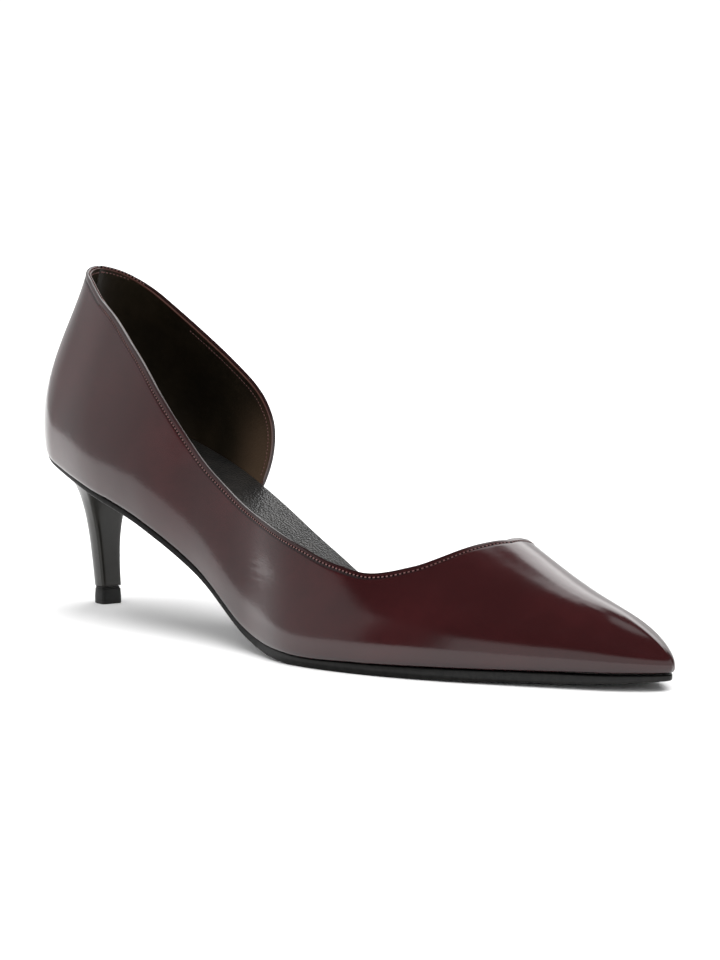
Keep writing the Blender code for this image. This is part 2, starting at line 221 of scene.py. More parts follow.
OUTER = column("outer", BALL_WIDTH)
INNER = column("inner", BALL_WIDTH)
SWING = column("swing", BALL_WIDTH)
FEATHER = column("feather", SEAT_RISE)
SOLE_THICK = column("sole", SEAT_RISE)
CREST = column("crest", LAST_HEIGHT)
CREST_LEAN = column("crest_lean", BALL_WIDTH)
CREST_Y = column("crest_y", BALL_WIDTH)
CREST_HALF = column("crest_half", BALL_WIDTH)
OUTER_SWELL = column("outer_swell", BALL_WIDTH)
INNER_SWELL = column("inner_swell", BALL_WIDTH)


def walk_at(along):
    """The way walked along the bottom edge to a place on its straight stretch."""
    return HEEL_WALK + along - HEEL_ROUND


def walk_at_percent(percent):
    return walk_at(percent / 100 * LENGTH)


def station(walk):
    """Place along the shoe, share of the half width, and share of the crest's half width."""
    walk = np.asarray(walk, float)
    heel_turn = pi / 2 * np.clip(walk / HEEL_WALK, 0, 1)
    toe_turn = pi / 2 * np.clip((WALK_END - walk) / TOE_WALK, 0, 1)
    along = HEEL_ROUND + walk - HEEL_WALK
    along = np.where(walk < HEEL_WALK, HEEL_ROUND * (1 - np.cos(heel_turn)), along)
    along = np.where(walk > WALK_END - TOE_WALK, LENGTH - TOE_ROUND * (1 - np.cos(toe_turn)), along)
    return along, np.sin(heel_turn) * np.sin(toe_turn), np.sin(heel_turn)


def feather_points(side, walk):
    """Points of the last's bottom edge; side is -1 for the outer and 1 for the inner side."""
    along, share, _ = station(walk)
    half = np.where(side < 0, OUTER(along), INNER(along))
    return np.stack([along, SWING(along) + side * half * share, FEATHER(along)], axis=-1)


def crest_points(side, walk):
    """The ends of the sections' sides on the last's crest."""
    along, _, share = station(walk)
    across = CREST_Y(along) + side * CREST_HALF(along) * share
    return np.stack([along + CREST_LEAN(along), across, CREST(along)], axis=-1)


def outward(side, walk):
    """Level unit vectors out of the last's bottom edge."""
    reach = 0.0004
    ahead = feather_points(side, np.minimum(walk + reach, WALK_END))
    run = ahead - feather_points(side, np.maximum(walk - reach, 0))
    out = np.stack([-side * run[..., 1], side * run[..., 0], 0 * walk], axis=-1)
    out = out / np.linalg.norm(out, axis=-1, keepdims=True)
    out = np.where((walk <= 0)[..., None], [-1.0, 0.0, 0.0], out)
    return np.where((walk >= WALK_END)[..., None], [1.0, 0.0, 0.0], out)


def last_points(side, walk, rise):
    """Points of the last's surface, from the feather at rise 0 to the crest at rise 1."""
    along, _, _ = station(walk)
    foot = feather_points(side, walk)
    top = crest_points(side, walk)
    out = outward(side, walk)
    swell = np.where(side < 0, OUTER_SWELL(along), INNER_SWELL(along))[..., None]
    up = np.stack([0 * walk, 0 * walk, top[..., 2] - foot[..., 2]], axis=-1)
    low_handle = foot + out * swell + LOW_HANDLE * up
    reach = 0.0005
    ahead = crest_points(side, np.minimum(walk + reach, WALK_END))
    behind = crest_points(side, np.maximum(walk - reach, 0))
    crest_slope = (ahead[..., 2] - behind[..., 2]) / (ahead[..., 0] - behind[..., 0])
    back = foot - top
    vamp_handle = VAMP_HANDLE * np.stack([back[..., 0], back[..., 1], back[..., 0] * crest_slope], axis=-1)
    quarter_handle = out * QUARTER_HANDLE * swell - QUARTER_HANDLE_DOWN * up
    quarter = np.clip((QUARTER_END - along) / QUARTER_FADE, 0, 1)
    quarter = (quarter * quarter * (3 - 2 * quarter))[..., None]
    high_handle = top + vamp_handle * (1 - quarter) + quarter_handle * quarter
    rise = rise[..., None]
    rest = 1 - rise
    return (
        rest**3 * foot
        + 3 * rest * rest * rise * low_handle
        + 3 * rest * rise * rise * high_handle
        + rise**3 * top
    )


def underside(along):
    """Height of the outsole's bottom face, which is flat on the floor under the forefoot."""
    return np.maximum(FEATHER(along) - GAP - SOLE_THICK(along), 0.0)


# Small tools of the bench


def pulled_grid(name, points):
    """A grid pulled onto lines of points and closed where they meet; it faces across its lines."""
    lines, places = points.shape[:2]
    bpy.ops.object.select_all(action="DESELECT")
    bpy.ops.mesh.primitive_grid_add(x_subdivisions=places - 1, y_subdivisions=lines - 1)
    piece = bpy.context.object
    piece.name = piece.data.name = name
    piece.data.vertices.foreach_set("co", (points + SHIFT).astype(np.float32).reshape(-1))
    bpy.ops.object.mode_set(mode="EDIT")
    bpy.ops.mesh.select_all(action="SELECT")
    bpy.ops.mesh.remove_doubles(threshold=MERGE)
    bpy.ops.mesh.dissolve_degenerate(threshold=MERGE)
    bpy.ops.object.mode_set(mode="OBJECT")
    return piece


def applied(piece, kind, **settings):
    """A modifier with its settings, worked into the piece's mesh."""
    modifier = piece.modifiers.new(kind.lower(), kind)
    for name, value in settings.items():
        setattr(modifier, name, value)
    bpy.context.view_layer.objects.active = piece
    bpy.ops.object.modifier_apply(modifier=modifier.name)


def rounded(piece, width, degrees):
    """Rounds the edges that are sharper than an angle."""
    applied(piece, "BEVEL", width=width, segments=2, limit_method="ANGLE", angle_limit=radians(degrees))


def smoothed(piece, degrees):
    bpy.ops.object.select_all(action="DESELECT")
    piece.select_set(True)
    bpy.context.view_layer.objects.active = piece
    bpy.ops.object.shade_smooth_by_angle(angle=radians(degrees))


def twin(piece, name):
    """A copy of the piece with its own mesh."""
    copy = piece.copy()
    copy.data = piece.data.copy()
    copy.name = copy.data.name = name
    bpy.context.scene.collection.objects.link(copy)
    return copy


def spots_of(piece):
    spots = np.empty(len(piece.data.vertices) * 3, np.float32)
    piece.data.vertices.foreach_get("co", spots)
    return spots.reshape(-1, 3).astype(float)


def normals_of(piece):
    normals = np.empty(len(piece.data.vertices) * 3, np.float32)
    piece.data.vertex_normals.foreach_get("vector", normals)
    return normals.reshape(-1, 3).astype(float)


def move_out(piece, distances):
    """Moves every vertex along its normal."""
    moved = spots_of(piece) + normals_of(piece) * np.asarray(distances)[..., None]
    piece.data.vertices.foreach_set("co", moved.astype(np.float32).reshape(-1))
    piece.data.update()


def ring_tree(points):
    """A search tree over a line of points."""
    tree = kdtree.KDTree(len(points))
    for index, point in enumerate(points):
        tree.insert(point, index)
    tree.balance()
    return tree


def signed_volume(piece):
    """The room inside a closed piece, below zero when its faces look inwards."""
    build = bmesh.new()
    build.from_mesh(piece.data)
    volume = build.calc_volume(signed=True)
    build.free()
    return volume


def write_attribute(piece, name, values):
    layer = piece.data.attributes.new(name, "FLOAT", "POINT")
    layer.data.foreach_set("value", np.asarray(values, np.float32))


def bell(distance, width):
    """A soft bump: 1 at no distance, near nothing past twice the width."""
    return np.exp(-0.5 * (np.asarray(distance) / width) ** 2)


# Lines over the last, as places (side, walk, rise)


def edge_line(rows, count):
    """Walk and rise along an edge given by its rows."""
    shares = np.linspace(0, len(rows) - 1, count)
    spots = range(len(rows))
    along = smooth_curve(spots, [row.along / 100 * LENGTH for row in rows])(shares)
    rise = smooth_curve(spots, [row.rise / 100 for row in rows])(shares)
    return walk_at(along), rise


def top_rise(rows, walk):
    """The rise of a topline at a walk round the shoe."""
    curve = smooth_curve([row.along / 100 * LENGTH for row in rows], [row.rise / 100 for row in rows])
    return curve(station(walk)[0])


def spaced(side, walk, rise, step):
    """The same line with its places an even step apart on the last."""
    points = last_points(np.full(len(walk), side), walk, rise)
    way = np.concatenate([[0], np.cumsum(np.linalg.norm(np.diff(points, axis=0), axis=1))])
    count = max(2, round(way[-1] / step) + 1)
    even = np.linspace(0, way[-1], count)
    return np.interp(even, way, walk), np.interp(even, way, rise)


FINE = 400
EDGE_STEP = 0.0010
# Lines of the upper that end on the crest: crowded just past the throat, along the vamp, round the toe
THROAT_NEAR = 0.004
THROAT_CROWD = 1.4
THROAT_LINES = 10
VAMP_LINES = 52
TOE_LINES = 27
THROAT = walk_at_percent(77)
QUARTER_FOOT = walk_at_percent(QUARTER_FRONT[0].along)
QUARTER_START = walk_at_percent(QUARTER_TURN)
VAMP_FOOT = walk_at_percent(VAMP_BACK[0].along)


def upper_lines():
    """Foot and top place of every line of the upper: side, walk at the foot, walk and rise at the top.

    The lines' tops run along the whole free edge and, between the throat and the toe, along the crest.
    """
    corner = walk_at_percent(INNER_TOPLINE[-1].along)
    front_walk, front_rise = edge_line(QUARTER_FRONT, FINE)
    top_walk = np.linspace(corner, QUARTER_START, FINE)
    walk = np.concatenate([front_walk, top_walk[1:]])
    rise = np.concatenate([front_rise, top_rise(INNER_TOPLINE, top_walk[1:])])
    walk, rise = spaced(1, walk, rise, EDGE_STEP)
    share = np.linspace(0, 1, len(walk))
    lines = [
        (1, QUARTER_FOOT + (QUARTER_START - QUARTER_FOOT) * s, w, r) for s, w, r in zip(share, walk, rise)
    ]

    walk = np.linspace(QUARTER_START, 0, round(QUARTER_START / EDGE_STEP) + 1)[1:]
    lines += [(1, w, w, r) for w, r in zip(walk, top_rise(INNER_TOPLINE, walk))]

    walk = np.linspace(0, THROAT, 4 * FINE)
    walk, rise = spaced(-1, walk, top_rise(OUTER_TOPLINE, walk), EDGE_STEP)
    rise[-1] = 1.0
    lines += [(-1, w, w, r) for w, r in zip(walk[1:], rise[1:])]

    near = THROAT + THROAT_NEAR * np.linspace(0, 1, THROAT_LINES)[1:] ** THROAT_CROWD
    crest = np.concatenate([
        near,
        np.linspace(near[-1], WALK_END - TOE_WALK, VAMP_LINES)[1:],
        np.linspace(WALK_END - TOE_WALK, WALK_END, TOE_LINES)[1:],
    ])
    lines += [(-1, w, w, 1.0) for w in crest]
    turn = walk_at_percent(VAMP_TURN)
    foot_turn = walk_at_percent(VAMP_FOOT_TURN)
    for w in [*crest[-2::-1], THROAT]:
        share = np.clip((turn - w) / (turn - THROAT), 0, 1)
        lines.append((1, w + (foot_turn - THROAT) * share, w, 1.0))

    back_walk, back_rise = edge_line(VAMP_BACK[::-1], 2 * FINE)
    walk, rise = spaced(1, back_walk, back_rise, EDGE_STEP)
    share = np.linspace(0, 1, len(walk))
    lines += [
        (1, foot_turn + (VAMP_FOOT - foot_turn) * s, w, r) for s, w, r in zip(share[1:], walk[1:], rise[1:])
    ]
    return np.array(lines)


# Fine wrinkles low on the outer waist: place along and height, how long and wide, how far they stand out
Wrinkle = namedtuple("Wrinkle", "along height long wide deep")
WRINKLES = (
    Wrinkle(0.1233, 0.0269, 0.0024, 0.00042, 0.000016),
    Wrinkle(0.1300, 0.0272, 0.0026, 0.00042, 0.000014),
    Wrinkle(0.1300, 0.0251, 0.0030, 0.00044, 0.000020),
    Wrinkle(0.1258, 0.0236, 0.0024, 0.00042, 0.000016),
    Wrinkle(0.1326, 0.0225, 0.0030, 0.00044, 0.000020),
    Wrinkle(0.1292, 0.0205, 0.0028, 0.00044, 0.000016),
)
# The upper's rows lie closer together round the middle wrinkle: reach along and up, and how much closer
WRINKLE_MIDDLE = WRINKLES[2]
CROWD_LONG = 0.009
CROWD_HIGH = 0.0042
CROWD_GAIN = 9
# Ways down from the top edge and up from the feather at which the upper's rows lie
TOP_ROWS = np.array([0, 0.3, 0.6, 0.9, 1.15, 1.35, 1.55, 1.75, 1.95, 2.2, 2.6, 3.4, 4.8]) / 1000
FOOT_ROWS = np.array([2.4, 1.7, 1.2, 0.8, 0.5, 0.25, 0]) / 1000
MID_ROWS = 30
# The most of a line's way that the rows near the top and near the feather may take up
TOP_SHARE = 0.40
FOOT_SHARE = 0.25
LINE_SPOTS = 49


def upper_skin_points():
    """The points of the upper's outer face, line by line from the top edge down to the feather."""
    lines = upper_lines()
    side = lines[:, 0][:, None]
    shares = np.linspace(0, 1, LINE_SPOTS)
    walk = lines[:, 2][:, None] * (1 - shares) + lines[:, 1][:, None] * shares
    rise = lines[:, 3][:, None] * (1 - shares)
    side = np.broadcast_to(side, walk.shape)
    points = last_points(side, walk, rise)
    wrinkled = bell(points[..., 0] - WRINKLE_MIDDLE.along, CROWD_LONG)
    wrinkled = wrinkled * bell(points[..., 2] - WRINKLE_MIDDLE.height, CROWD_HIGH)
    closer = 1 + CROWD_GAIN * wrinkled * (points[..., 1] < 0)
    steps = np.linalg.norm(np.diff(points, axis=1), axis=2) * (closer[:, 1:] + closer[:, :-1]) / 2
    crowding = np.concatenate([np.zeros((len(lines), 1)), np.cumsum(steps, axis=1)], axis=1)
    rows = []
    for index in range(len(lines)):
        way = np.concatenate([[0], np.cumsum(np.linalg.norm(np.diff(points[index], axis=0), axis=1))])
        full = way[-1]
        top = TOP_ROWS * min(1, TOP_SHARE * full / TOP_ROWS[-1])
        foot = full - FOOT_ROWS * min(1, FOOT_SHARE * full / FOOT_ROWS[0])
        crowd = np.interp([top[-1], foot[0]], way, crowding[index])
        middle = np.interp(np.linspace(*crowd, MID_ROWS + 2)[1:-1], crowding[index], way)
        rows.append(np.interp(np.concatenate([top, middle, foot]), way, shares))
    shares = np.array(rows)
    walk = lines[:, 2][:, None] * (1 - shares) + lines[:, 1][:, None] * shares
    rise = lines[:, 3][:, None] * (1 - shares)
    return last_points(np.broadcast_to(lines[:, 0][:, None], walk.shape), walk, rise)


# Spots worked out on each stretch of the free edge, before they are spaced evenly
FRONT_SPOTS = 600
INNER_SPOTS = 1200
OUTER_SPOTS = 4000
BACK_SPOTS = 900
FREE_EDGE_STEP = 0.00015


def free_edge_points():
    """Points of the upper's free edge, from the inner quarter's foot round the collar to the vamp's."""
    corner = walk_at_percent(INNER_TOPLINE[-1].along)
    front_walk, front_rise = edge_line(QUARTER_FRONT, FRONT_SPOTS)
    inner_walk = np.linspace(corner, 0, INNER_SPOTS)[1:]
    outer_walk = np.linspace(0, THROAT, OUTER_SPOTS)[1:]
    back_walk, back_rise = edge_line(VAMP_BACK[::-1], BACK_SPOTS)
    walk = np.concatenate([front_walk, inner_walk, outer_walk, back_walk[1:]])
    inner_rise = top_rise(INNER_TOPLINE, inner_walk)
    outer_rise = top_rise(OUTER_TOPLINE, outer_walk)
    rise = np.concatenate([front_rise, inner_rise, outer_rise, back_rise[1:]])
    side = np.ones(len(walk))
    first = len(front_walk) + len(inner_walk)
    side[first : first + len(outer_walk)] = -1
    points = last_points(side, walk, rise)
    way = np.concatenate([[0], np.cumsum(np.linalg.norm(np.diff(points, axis=0), axis=1))])
    even = np.linspace(0, way[-1], round(way[-1] / FREE_EDGE_STEP) + 1)
    return np.stack([np.interp(even, way, points[:, axis]) for axis in range(3)], axis=1) + SHIFT, even


# The upper


FOOT_STEP = 0.0002


def foot_ring():
    """Points of the feather right round the last."""
    walk = np.arange(0, WALK_END, FOOT_STEP)
    sides = [feather_points(np.full(len(walk), side), walk) for side in (-1.0, 1.0)]
    return np.concatenate(sides) + SHIFT


def nearest(tree, spots):
    """Distance to the nearest point of a tree and that point's number, for each spot."""
    found = [tree.find(spot) for spot in spots]
    return np.array([item[2] for item in found]), np.array([item[1] for item in found])


# The leather turns in just above the sole
FOOT_TURN = 0.0014
FOOT_TURN_DEEP = 0.0005
# The leather hangs a little over the sole's edge round the seat
SKIRT_HIGH = 0.006
SKIRT_LONG = 0.060
SKIRT_DROP = 0.0010
# The toe is a little fuller on top than the last
TOE_TOP = (0.238, 0.005, 0.021)
TOE_REACH = 0.011
TOE_RISE = (0.0004, 0.0, 0.0014)

# Soft hollows and swells of the leather over the last: place, reach and height, out is positive
Dent = namedtuple("Dent", "x y z reach rise")
DENTS = (
    Dent(0.030, -0.033, 0.062, 0.009, 0.00010),
    Dent(0.052, -0.034, 0.056, 0.008, -0.00010),
    Dent(0.075, -0.035, 0.048, 0.010, 0.00012),
    Dent(0.100, -0.036, 0.034, 0.012, -0.00012),
    Dent(0.160, -0.040, 0.028, 0.012, -0.00008),
    Dent(0.185, -0.030, 0.030, 0.012, 0.00008),
    Dent(0.205, 0.004, 0.034, 0.010, -0.00008),
)

# The waist's outer side is hollow above a fuller foot: place along and up from the feather, reach, depth
Hollow = namedtuple("Hollow", "along up long high deep")
HOLLOWS = (
    Hollow(0.146, 0.0170, 0.028, 0.0090, -0.00260),
    Hollow(0.146, 0.0000, 0.028, 0.0055, 0.00090),
)


def make_upper():
    """The leather, its lining, and the seams along the free edge."""
    edge, way = free_edge_points()
    edge_tree = ring_tree(edge)
    foot_tree = ring_tree(foot_ring())

    leather = pulled_grid("upper_leather", upper_skin_points())
    spots = spots_of(leather)
    down, index = nearest(edge_tree, spots)
    up, _ = nearest(foot_tree, spots)
    turned = np.clip(1 - up / FOOT_TURN, 0, 1)
    shaped = -FOOT_TURN_DEEP * (1 - np.sqrt(1 - turned**2))
    last_spots = spots - SHIFT
    for dent in DENTS:
        away = np.linalg.norm(last_spots - np.array([dent.x, dent.y, dent.z]), axis=1)
        shaped += dent.rise * bell(away, dent.reach)
    for hollow in HOLLOWS:
        along = bell(last_spots[:, 0] - hollow.along, hollow.long)
        shaped += hollow.deep * along * bell(up - hollow.up, hollow.high) * (last_spots[:, 1] < 0)
    move_out(leather, shaped)
    skirt = np.clip(1 - up / SKIRT_HIGH, 0, 1) * np.clip(1 - last_spots[:, 0] / SKIRT_LONG, 0, 1) ** 0.5
    hung = spots_of(leather)
    hung[:, 2] -= SKIRT_DROP * skirt
    from_toe = np.linalg.norm(last_spots - np.array(TOE_TOP), axis=1)
    hung += np.array(TOE_RISE) * bell(from_toe, TOE_REACH)[:, None]
    leather.data.vertices.foreach_set("co", hung.astype(np.float32).reshape(-1))
    leather.data.update()
    write_attribute(leather, "edge", down)
    write_attribute(leather, "run", way[index])
    write_attribute(leather, "foot", up)

    lining = twin(leather, "lining")
    move_out(lining, np.full(len(spots), -(LEATHER + LAYER_GAP)))
    lowered = np.zeros((len(spots), 3))
    lowered[:, 2] = -LINING_DROP * np.clip(1 - down / LINING_DROP_REACH, 0, 1)
    lining.data.vertices.foreach_set("co", (spots_of(lining) + lowered).astype(np.float32).reshape(-1))
    applied(lining, "SOLIDIFY", thickness=LINING, offset=-1, use_rim=True)
    rounded(lining, 0.00012, 50)
    smoothed(lining, 60)

    pillow = PILLOW_RISE * np.sin(pi * np.clip(down / STITCH_IN, 0, 1))
    valley = VALLEY_DEEP * bell(down - STITCH_IN, VALLEY_REACH)
    moved = pillow - valley
    for crease in WRINKLES:
        across = (last_spots[:, 2] - crease.height) / crease.wide
        length = (last_spots[:, 0] - crease.along) / crease.long
        moved += crease.deep * np.exp(-0.5 * (across**2 + length**2)) * (last_spots[:, 1] < 0)
    seam = (last_spots[:, 0] < SEAM_BACK) & (np.abs(last_spots[:, 1]) < SEAM_HALF)
    moved -= SEAM_DEEP * bell(last_spots[:, 1], SEAM_REACH) * seam
    move_out(leather, moved)
    applied(leather, "SOLIDIFY", thickness=LEATHER, offset=-1, use_rim=True)
    rounded(leather, 0.00020, 50)
    smoothed(leather, 60)
    return leather, lining, edge, way


def face_tree(piece):
    build = bmesh.new()
    build.from_mesh(piece.data)
    tree = bvhtree.BVHTree.FromBMesh(build)
    build.free()
    return tree


def one_stitch(long, wide, high):
    """A thread lying between two needle holes, or the shade in a hole."""
    bpy.ops.object.select_all(action="DESELECT")
    bpy.ops.mesh.primitive_uv_sphere_add(segments=8, ring_count=7, radius=0.5)
    stitch = bpy.context.object
    for vertex in stitch.data.vertices:
        share = abs(2 * vertex.co.z)
        round_out = (1 - share**THREAD_BLUNTNESS) ** 0.5 if share < 1 else 0
        flat = (vertex.co.x**2 + vertex.co.y**2) ** 0.5
        scale = round_out * 0.5 / flat if flat > 0.001 else 0
        vertex.co = Vector((vertex.co.z * long, vertex.co.x * scale * wide, vertex.co.y * scale * high))
    return stitch


def make_stitches(name, skin, edge, way, face_out, deep, lean, phase=0.5, size=THREAD):
    """A row of stitches a little way in from the free edge; deep is how far under the outer face to look."""
    tree = face_tree(skin)
    count = int(way[-1] / STITCH_PITCH)
    centres, normals = [], []
    for index in range(2, count - 1):
        here = np.searchsorted(way, (index + phase) * STITCH_PITCH)
        spot = Vector(edge[here])
        run = Vector(edge[min(here + RUN_SPOTS, len(edge) - 1)] - edge[here - RUN_SPOTS]).normalized()
        inward = face_out(spot).cross(run).normalized()
        best = None
        for way_in in (inward, -inward):
            start = spot + way_in * STITCH_IN - face_out(spot) * deep
            place, out, _, gone = tree.find_nearest(start)
            if best is None or gone < best[0]:
                best = (gone, place, out)
        _, place, out = best
        for _ in range(3 if deep == 0 else 0):
            place, out, _, _ = tree.find_nearest(spot + (place - spot).normalized() * STITCH_IN)
        centres.append(place)
        normals.append(out)
    template = one_stitch(*size)
    copies = []
    for index in range(1, len(centres) - 1):
        run = (centres[index + 1] - centres[index - 1]).normalized()
        up = (normals[index] - run * normals[index].dot(run)).normalized()
        turn = Matrix((run, up.cross(run), up)).transposed() @ Matrix.Rotation(lean, 3, "Z")
        copy = twin(template, name)
        copy.data.transform(Matrix.Translation(centres[index] + up * THREAD_LIFT) @ turn.to_4x4())
        copies.append(copy)
    bpy.data.objects.remove(template)
    bpy.ops.object.select_all(action="DESELECT")
    for copy in copies:
        copy.select_set(True)
    bpy.context.view_layer.objects.active = copies[0]
    bpy.ops.object.join()
    row = bpy.context.object
    row.name = row.data.name = name
    smoothed(row, 80)
    return row


# Sole and insole

# Ways in from a sheet's edge at which its rows lie, rows across its middle, places round heel, waist and toe
EDGE_ROWS = np.array([0, 0.06, 0.15, 0.28, 0.45, 0.65, 0.95, 1.4, 2.2]) / 1000
ACROSS = 13
HEEL_PLACES = 40
WAIST_PLACES = 110
TOE_PLACES = 33
RIM_PARTS = 9
NO_WIDTH = 1e-9
SOLE_ROUND = 0.0006
SOLE_TOP_ROUND = 0.0004
INSOLE_ROUND = 0.0006
INSOLE_FOOT_ROUND = 0.0005
INSOLE_HOLLOW = 0.0004
INSOLE_HOLLOW_IN = 0.014


def round_off(inside, radius):
    """How far an edge rounded to a radius has dropped at a way inside it."""
    short = np.clip(1 - inside / radius, 0, 1)
    return radius * (1 - np.sqrt(1 - short**2))


def make_sheet(name, inset, top, bottom):
    """A sheet cut round the foot; top and bottom give the height at places along and ways inside."""
    walk = np.concatenate([
        np.linspace(0, HEEL_WALK, HEEL_PLACES)[:-1],
        np.linspace(HEEL_WALK, WALK_END - TOE_WALK, WAIST_PLACES)[:-1],
        np.linspace(WALK_END - TOE_WALK, WALK_END, TOE_PLACES),
    ])
    ends = [
        feather_points(side * np.ones(len(walk)), walk) - outward(side, walk) * inset for side in (-1.0, 1.0)
    ]
    half = np.linalg.norm(ends[1] - ends[0], axis=1)[:, None] / 2
    near = EDGE_ROWS * np.minimum(1, 0.5 * half / EDGE_ROWS[-1])
    middle = near[:, -1:] + (2 * half - 2 * near[:, -1:]) * np.linspace(0, 1, ACROSS)[None, 1:-1]
    ways = np.concatenate([near, middle, (2 * half - near)[:, ::-1]], axis=1)
    shares = ways / np.maximum(2 * half, NO_WIDTH)
    shares[half[:, 0] < MERGE] = 0.5
    points = ends[0][:, None] * (1 - shares[..., None]) + ends[1][:, None] * shares[..., None]
    rim = np.concatenate([ends[0], ends[1][::-1]])
    parts = [rim[:-1] + (rim[1:] - rim[:-1]) * share for share in np.linspace(0, 1, RIM_PARTS)[:-1]]
    inside, _ = nearest(ring_tree(np.concatenate(parts)), points.reshape(-1, 3))
    inside = inside.reshape(points.shape[:2])
    inside[:, 0] = inside[:, -1] = 0
    above, below = points.copy(), points[:, ::-1].copy()
    above[..., 2] = top(points[..., 0], inside)
    below[..., 2] = bottom(points[..., 0], inside)[:, ::-1]
    sheet = pulled_grid(name, np.concatenate([above, below, above[:, :1]], axis=1))
    bpy.context.view_layer.objects.active = sheet
    bpy.ops.object.mode_set(mode="EDIT")
    bpy.ops.mesh.select_all(action="SELECT")
    bpy.ops.mesh.normals_make_consistent(inside=False)
    bpy.ops.object.mode_set(mode="OBJECT")
    if signed_volume(sheet) < 0:
        sheet.data.flip_normals()
    return sheet


def make_outsole():
    """The outsole with its rounded, burnished edge."""
    sheet = make_sheet(
        "outsole_leather",
        SOLE_INSET,
        lambda along, inside: FEATHER(along) - GAP - round_off(inside, SOLE_TOP_ROUND),
        lambda along, inside: underside(along) + round_off(inside, SOLE_ROUND),
    )
    smoothed(sheet, 60)
    return sheet


def make_insole():
    """The covered insole, a little hollow under the foot."""

    def top(along, inside):
        hollow = INSOLE_HOLLOW * np.clip(inside / INSOLE_HOLLOW_IN, 0, 1) ** 2
        return FEATHER(along) + INSOLE_THICK - round_off(inside, INSOLE_ROUND) - hollow

    sheet = make_sheet(
        "insole_cover",
        INSOLE_INSET,
        top,
        lambda along, inside: FEATHER(along) + round_off(inside, INSOLE_FOOT_ROUND),
    )
    smoothed(sheet, 60)
    return sheet


# Heel and top piece

HEEL_FOOT = TOP_PIECE_HIGH + GAP
HEEL_SPOTS = 72
# The heel's levels are closer from this share of its height up, where the slit is
SLIT_START = 0.94
HEEL_LEVELS = 34
SLIT_LEVELS = 31
SLIT_DEEP = 0.0014
SLIT_SHARE = 0.966
SLIT_REACH = 0.010
# The top piece from the floor up: how high each ring lies and how far it stands out past the heel
TipRing = namedtuple("TipRing", "height grown")
TIP_RINGS = (
    TipRing(0.0, 0.0),
    TipRing(0.0022, 0.0),
    TipRing(0.0046, -0.00015),
    TipRing(0.0047, -0.0004),
    TipRing(0.0051, -0.0004),
    TipRing(0.0052, -0.00015),
)


def heel_outline(back, front, half):
    """A D-shaped outline with rounded front corners, anticlockwise from the middle of its back."""
    corner = CORNER_ROUND * (front - back)
    middle = front - corner
    turn = np.linspace(-pi, pi, HEEL_SPOTS, endpoint=False)
    back_power = 2 / HEEL_ROUNDNESS
    lean = np.abs(np.cos(turn))
    rise = np.abs(np.sin(turn))
    behind = np.cos(turn) < 0
    rear = middle - (middle - back) * lean**back_power
    along = np.where(behind, rear, middle + corner * lean**CORNER_LEAN)
    across = np.where(behind, half * rise**back_power, half * rise**FRONT_POWER) * np.sign(np.sin(turn))
    return along, across


def heel_curves():
    """Back, front and half width of the heel by share of its height."""
    shares = [row.share for row in HEEL_RINGS]
    names = ("back", "front", "half")
    return [smooth_curve(shares, [getattr(row, name) for row in HEEL_RINGS]) for name in names]


def closed_rings(name, rings):
    """A closed body through rings of points, from its foot to its top."""
    looped = np.concatenate([rings, rings[:, :1]], axis=1)
    body = pulled_grid(name, looped[:, ::-1])
    bpy.context.view_layer.objects.active = body
    bpy.ops.object.mode_set(mode="EDIT")
    bpy.ops.mesh.select_all(action="SELECT")
    bpy.ops.mesh.fill_holes(sides=0)
    bpy.ops.mesh.normals_make_consistent(inside=False)
    bpy.ops.object.mode_set(mode="OBJECT")
    return body


def make_heel():
    """The lacquered heel, with the slit below its top rim."""
    back, front, half = heel_curves()
    shares = np.concatenate([
        np.linspace(0, SLIT_START, HEEL_LEVELS),
        np.linspace(SLIT_START, 1.0, SLIT_LEVELS)[1:],
    ])
    rings = []
    for share in shares:
        along, across = heel_outline(back(share), front(share), half(share))
        inward = (along - back(share)) / (front(share) - back(share))
        cut = np.clip(1 - abs(share - SLIT_SHARE) / SLIT_REACH, 0, 1) ** 0.5
        across *= 1 - SLIT_DEEP * cut * np.clip((inward - 0.3) / 0.2, 0, 1) / half(share)
        along -= SLIT_DEEP * cut * np.clip((inward - 0.6) / 0.3, 0, 1)
        height = HEEL_FOOT + (underside(along) - GAP - HEEL_FOOT) * share
        rings.append(np.stack([along, across, height], axis=1))
    heel = closed_rings("heel_lacquered", np.array(rings))
    rounded(heel, 0.00035, 60)
    smoothed(heel, 50)
    return heel


def make_tip():
    """The rubber top piece, widest at the floor, with a fine groove below the heel."""
    foot = HEEL_RINGS[0]
    rings = []
    for height, grown in TIP_RINGS:
        along, across = heel_outline(foot.back - grown, foot.front + grown, foot.half + grown)
        rings.append(np.stack([along, across, np.full(len(along), height)], axis=1))
    tip = closed_rings("heel_tip_rubber", np.array(rings))
    rounded(tip, 0.00025, 60)
    smoothed(tip, 40)
    return tip


# Finishes


